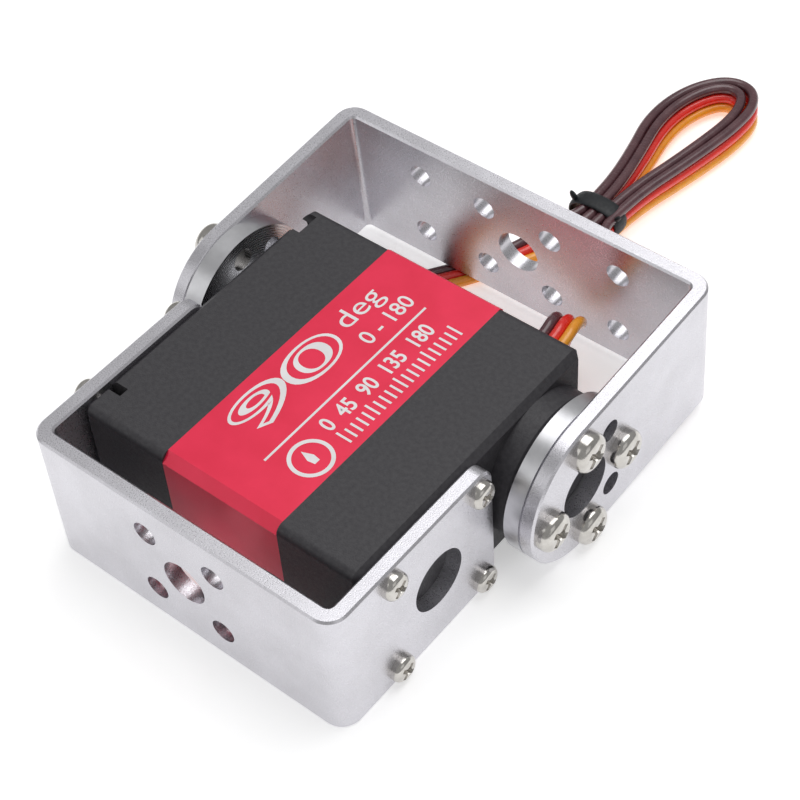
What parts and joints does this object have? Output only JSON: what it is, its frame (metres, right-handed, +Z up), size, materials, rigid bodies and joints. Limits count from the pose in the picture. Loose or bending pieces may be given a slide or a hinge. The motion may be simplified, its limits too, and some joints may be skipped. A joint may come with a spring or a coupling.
{
  "type": "servo bracket joint",
  "caption": "Hobby servo held between two folded U brackets, one screwed to its case and one to its horns, that swing as a powered tilt joint.",
  "frame": {"origin": "centre of the central hole in the short bracket's base, on its outer face", "axes": "+Y from the short bracket's base to the long bracket's base, +X along the servo shaft towards the idler side, +Z up; the joint lies on its side on the plane Z = -10 mm"},
  "size_m": [0.0584, 0.1137, 0.0216],
  "materials": {
    "bracket_metal": "bead-blasted satin anodised",
    "black_case": "fine matte moulded",
    "red_case": "red anodised, satin",
    "screw_metal": "bright nickel plated",
    "case_screw_metal": "dark plated steel",
    "horn_metal": "turned aluminium",
    "steel": "ground steel",
    "bearing_steel": "polished bearing steel",
    "gear_brass": "hobbed brass",
    "motor_steel": "zinc plated",
    "armature_metal": "laminated iron with copper winding",
    "black_plastic": "moulded nylon",
    "black_tie": "smooth black",
    "board_green": "solder resist",
    "component_black": "moulded chips",
    "lead_wire": "three bonded wires, brown, red and orange",
    "contact_gold": "plated spring contacts",
    "white_print": "screen-printed white ink"
  },
  "bodies": {
    "servo": {"short_bracket": "bracket_metal", "gear_cover": "black_case", "mid_case": "red_case", "rear_cover": "black_case", "bracket_long_screws_left": "screw_metal", "bracket_short_screws_left": "screw_metal", "bracket_long_screws_right": "screw_metal", "bracket_short_screws_right": "screw_metal", "case_screws": "case_screw_metal", "output_bearing": "bearing_steel", "middle_axle": "steel", "front_axle": "steel", "motor_can": "motor_steel", "motor_end_cap": "black_plastic", "potentiometer": "black_plastic", "circuit_board": "board_green", "board_components": "component_black", "lead_grommet": "black_plastic", "lead_inner_end": "lead_wire", "lead": "lead_wire", "lead_hank": "lead_wire", "cable_tie": "black_tie", "plug_housing": "black_plastic", "plug_contacts": "contact_gold"},
    "tilt_bracket": {"long_bracket": "bracket_metal", "output_horn": "horn_metal", "idler_horn": "horn_metal", "horn_screws_left": "screw_metal", "horn_screws_right": "screw_metal", "horn_centre_screw": "screw_metal", "output_shaft": "steel", "pot_shaft": "steel"},
    "rotor": {"motor_armature": "armature_metal", "motor_pinion": "gear_brass"},
    "first_gear": {"first_gear": "gear_brass"},
    "second_gear": {"second_gear": "gear_brass"},
    "third_gear": {"third_gear": "gear_brass"}
  },
  "joints": [
    {"name": "bracket_tilt", "type": "hinge", "parent": "servo", "child": "tilt_bracket", "pos_m": [0, 0.037, 0], "axis": [1, 0, 0], "range_deg": [-93.5, 86.5], "deforming": ["lead"]},
    {"name": "third_gear_spin", "type": "hinge", "parent": "servo", "child": "third_gear", "pos_m": [-0.014, 0.027, 0], "axis": [1, 0, 0], "range_deg": [-270, 290]},
    {"name": "second_gear_spin", "type": "hinge", "parent": "servo", "child": "second_gear", "pos_m": [-0.0125, 0.017, 0], "axis": [1, 0, 0], "range_deg": [-900, 830]},
    {"name": "first_gear_spin", "type": "hinge", "parent": "servo", "child": "first_gear", "pos_m": [-0.011, 0.027, 0], "axis": [1, 0, 0], "range_deg": [-3300, 3600]},
    {"name": "motor_spin", "type": "hinge", "parent": "servo", "child": "rotor", "pos_m": [-0.009, 0.017, 0], "axis": [1, 0, 0], "range_deg": [-14300, 13200]}
  ],
  "couplings": [
    {"joint": "third_gear_spin", "follows": "bracket_tilt", "ratio": -3},
    {"joint": "second_gear_spin", "follows": "bracket_tilt", "ratio": 9.5},
    {"joint": "first_gear_spin", "follows": "bracket_tilt", "ratio": -38},
    {"joint": "motor_spin", "follows": "bracket_tilt", "ratio": 152}
  ]
}
